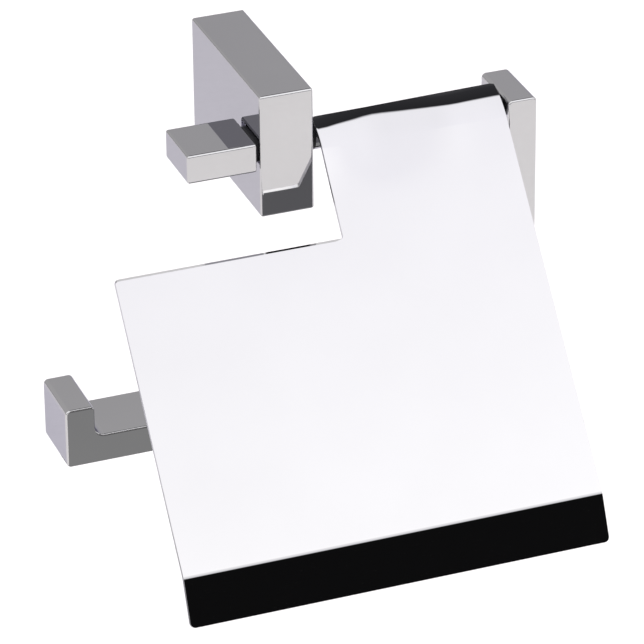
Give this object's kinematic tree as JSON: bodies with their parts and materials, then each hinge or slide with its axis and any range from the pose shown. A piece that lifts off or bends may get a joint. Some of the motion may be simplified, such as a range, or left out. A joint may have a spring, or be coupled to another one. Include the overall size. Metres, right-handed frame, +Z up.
{
  "type": "toilet paper holder",
  "caption": "Wall-mounted chrome paper roll holder: a square post carries an open C-shaped arm of flat bar, with a bent sheet cover hinged above the roll.",
  "frame": {"origin": "centre of the post's back face, on the wall (the wall bracket's back lies in the same plane)", "axes": "+X to the right along the roll bar, as seen from the front; +Y into the wall; +Z up"},
  "size_m": [0.1531, 0.1415, 0.1258],
  "materials": {
    "chrome": "polished",
    "cover_chrome": "polished",
    "zinc_plate": "zinc plated",
    "steel": "ground",
    "screw_steel": "black oxide",
    "black_nylon": "moulded"
  },
  "bodies": {
    "holder": {"wall_post": "chrome", "end_bar": "chrome", "roll_arm": "chrome", "wall_bracket": "zinc_plate", "hinge_rod": "steel", "spring_washer": "steel", "end_bar_pin": "steel", "bracket_grub_screw": "screw_steel", "post_set_screw": "screw_steel", "arm_set_screw": "screw_steel", "end_bar_gasket": "black_nylon", "post_washer": "black_nylon", "arm_washer": "black_nylon"},
    "cover": {"cover_panel": "cover_chrome", "hinge_barrel": "cover_chrome", "bush_left": "black_nylon", "bush_right": "black_nylon"}
  },
  "joints": [
    {"name": "cover_lift", "type": "hinge", "parent": "holder", "child": "cover", "pos_m": [0.04, -0.05, 0], "axis": [-1, 0, 0], "range_deg": [-36.5, 158]}
  ]
}
